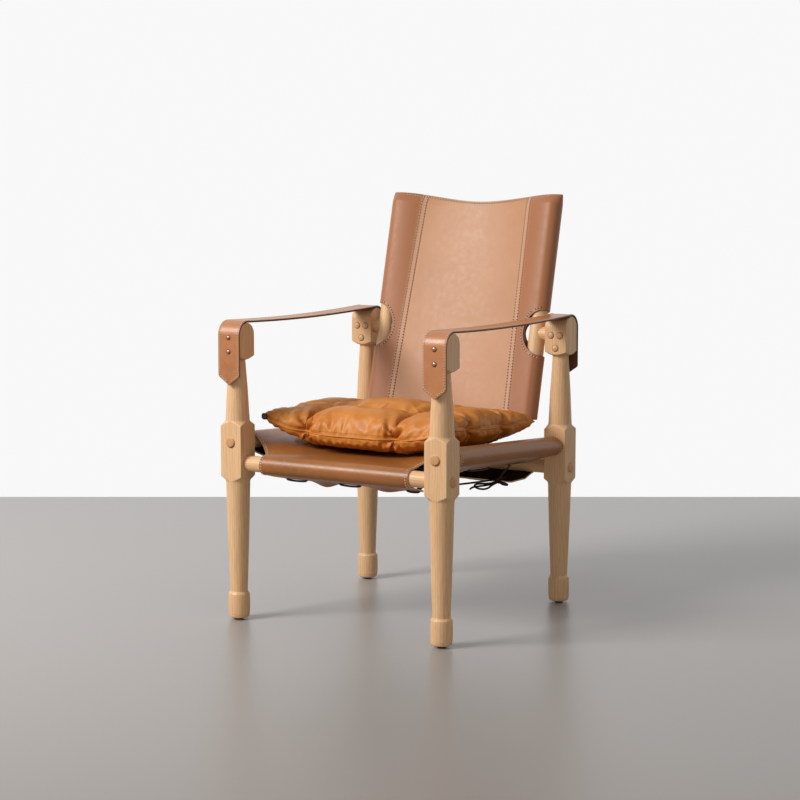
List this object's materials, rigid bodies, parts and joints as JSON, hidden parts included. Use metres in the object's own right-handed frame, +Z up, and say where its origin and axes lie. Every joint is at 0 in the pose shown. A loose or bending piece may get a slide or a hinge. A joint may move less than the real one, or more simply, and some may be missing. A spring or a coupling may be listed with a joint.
{
  "type": "lounge chair",
  "caption": "Low knock-down lounge chair with turned wooden legs and round rails, laced leather seat, pivoting leather back, leather arm straps and a loose cushion.",
  "frame": {"origin": "on the floor, under the middle of the whole chair's bounding box", "axes": "+Z up, -Y the way a sitter faces, +X to the viewer's right when seen from the front"},
  "size_m": [0.516, 0.5796, 0.8264],
  "materials": {
    "ash_wood": "pale ash, clear matt oil",
    "strap_leather": "tan bridle leather, dark burnished edges",
    "back_leather": "tan saddle leather, satin",
    "seat_leather": "tan saddle leather, satin, darker",
    "cushion_leather": "soft cognac leather, fine creases",
    "lace_leather": "dark brown lace",
    "black_glide": "matt",
    "bolt_steel": "bright zinc",
    "brass_stud": "aged, domed",
    "brass_insert": "plain"
  },
  "bodies": {
    "frame": {"cross_seat_lace": "lace_leather", "cushion_corner_tab": "lace_leather", "front_left_glide": "black_glide", "front_left_leg": "ash_wood", "front_left_strap_stud_lower": "brass_stud", "front_left_strap_stud_upper": "brass_stud", "front_rail": "ash_wood", "front_right_glide": "black_glide", "front_right_leg": "ash_wood", "front_right_strap_stud_lower": "brass_stud", "front_right_strap_stud_upper": "brass_stud", "left_arm_strap": "strap_leather", "left_pivot_bolt": "bolt_steel", "left_pivot_insert": "brass_insert", "left_side_rail": "ash_wood", "long_seat_lace": "lace_leather", "rear_left_glide": "black_glide", "rear_left_leg": "ash_wood", "rear_left_plug_left": "ash_wood", "rear_left_plug_lower": "ash_wood", "rear_left_plug_right": "ash_wood", "rear_left_strap_stud_lower": "brass_stud", "rear_left_strap_stud_upper": "brass_stud", "rear_rail": "ash_wood", "rear_right_glide": "black_glide", "rear_right_leg": "ash_wood", "rear_right_plug_left": "ash_wood", "rear_right_plug_lower": "ash_wood", "rear_right_plug_right": "ash_wood", "rear_right_strap_stud_lower": "brass_stud", "rear_right_strap_stud_upper": "brass_stud", "right_arm_strap": "strap_leather", "right_pivot_bolt": "bolt_steel", "right_pivot_insert": "brass_insert", "right_side_rail": "ash_wood", "seat_cushion": "cushion_leather", "seat_sling": "seat_leather"},
    "back": {"back_sling": "back_leather", "left_back_post": "ash_wood", "left_pivot_spacer": "ash_wood", "right_back_post": "ash_wood", "right_pivot_spacer": "ash_wood"}
  },
  "joints": [
    {"name": "back_tilt", "type": "hinge", "parent": "frame", "child": "back", "pos_m": [0, 0.2072, 0.548], "axis": [1, 0, 0], "range_deg": [0, 110]}
  ]
}
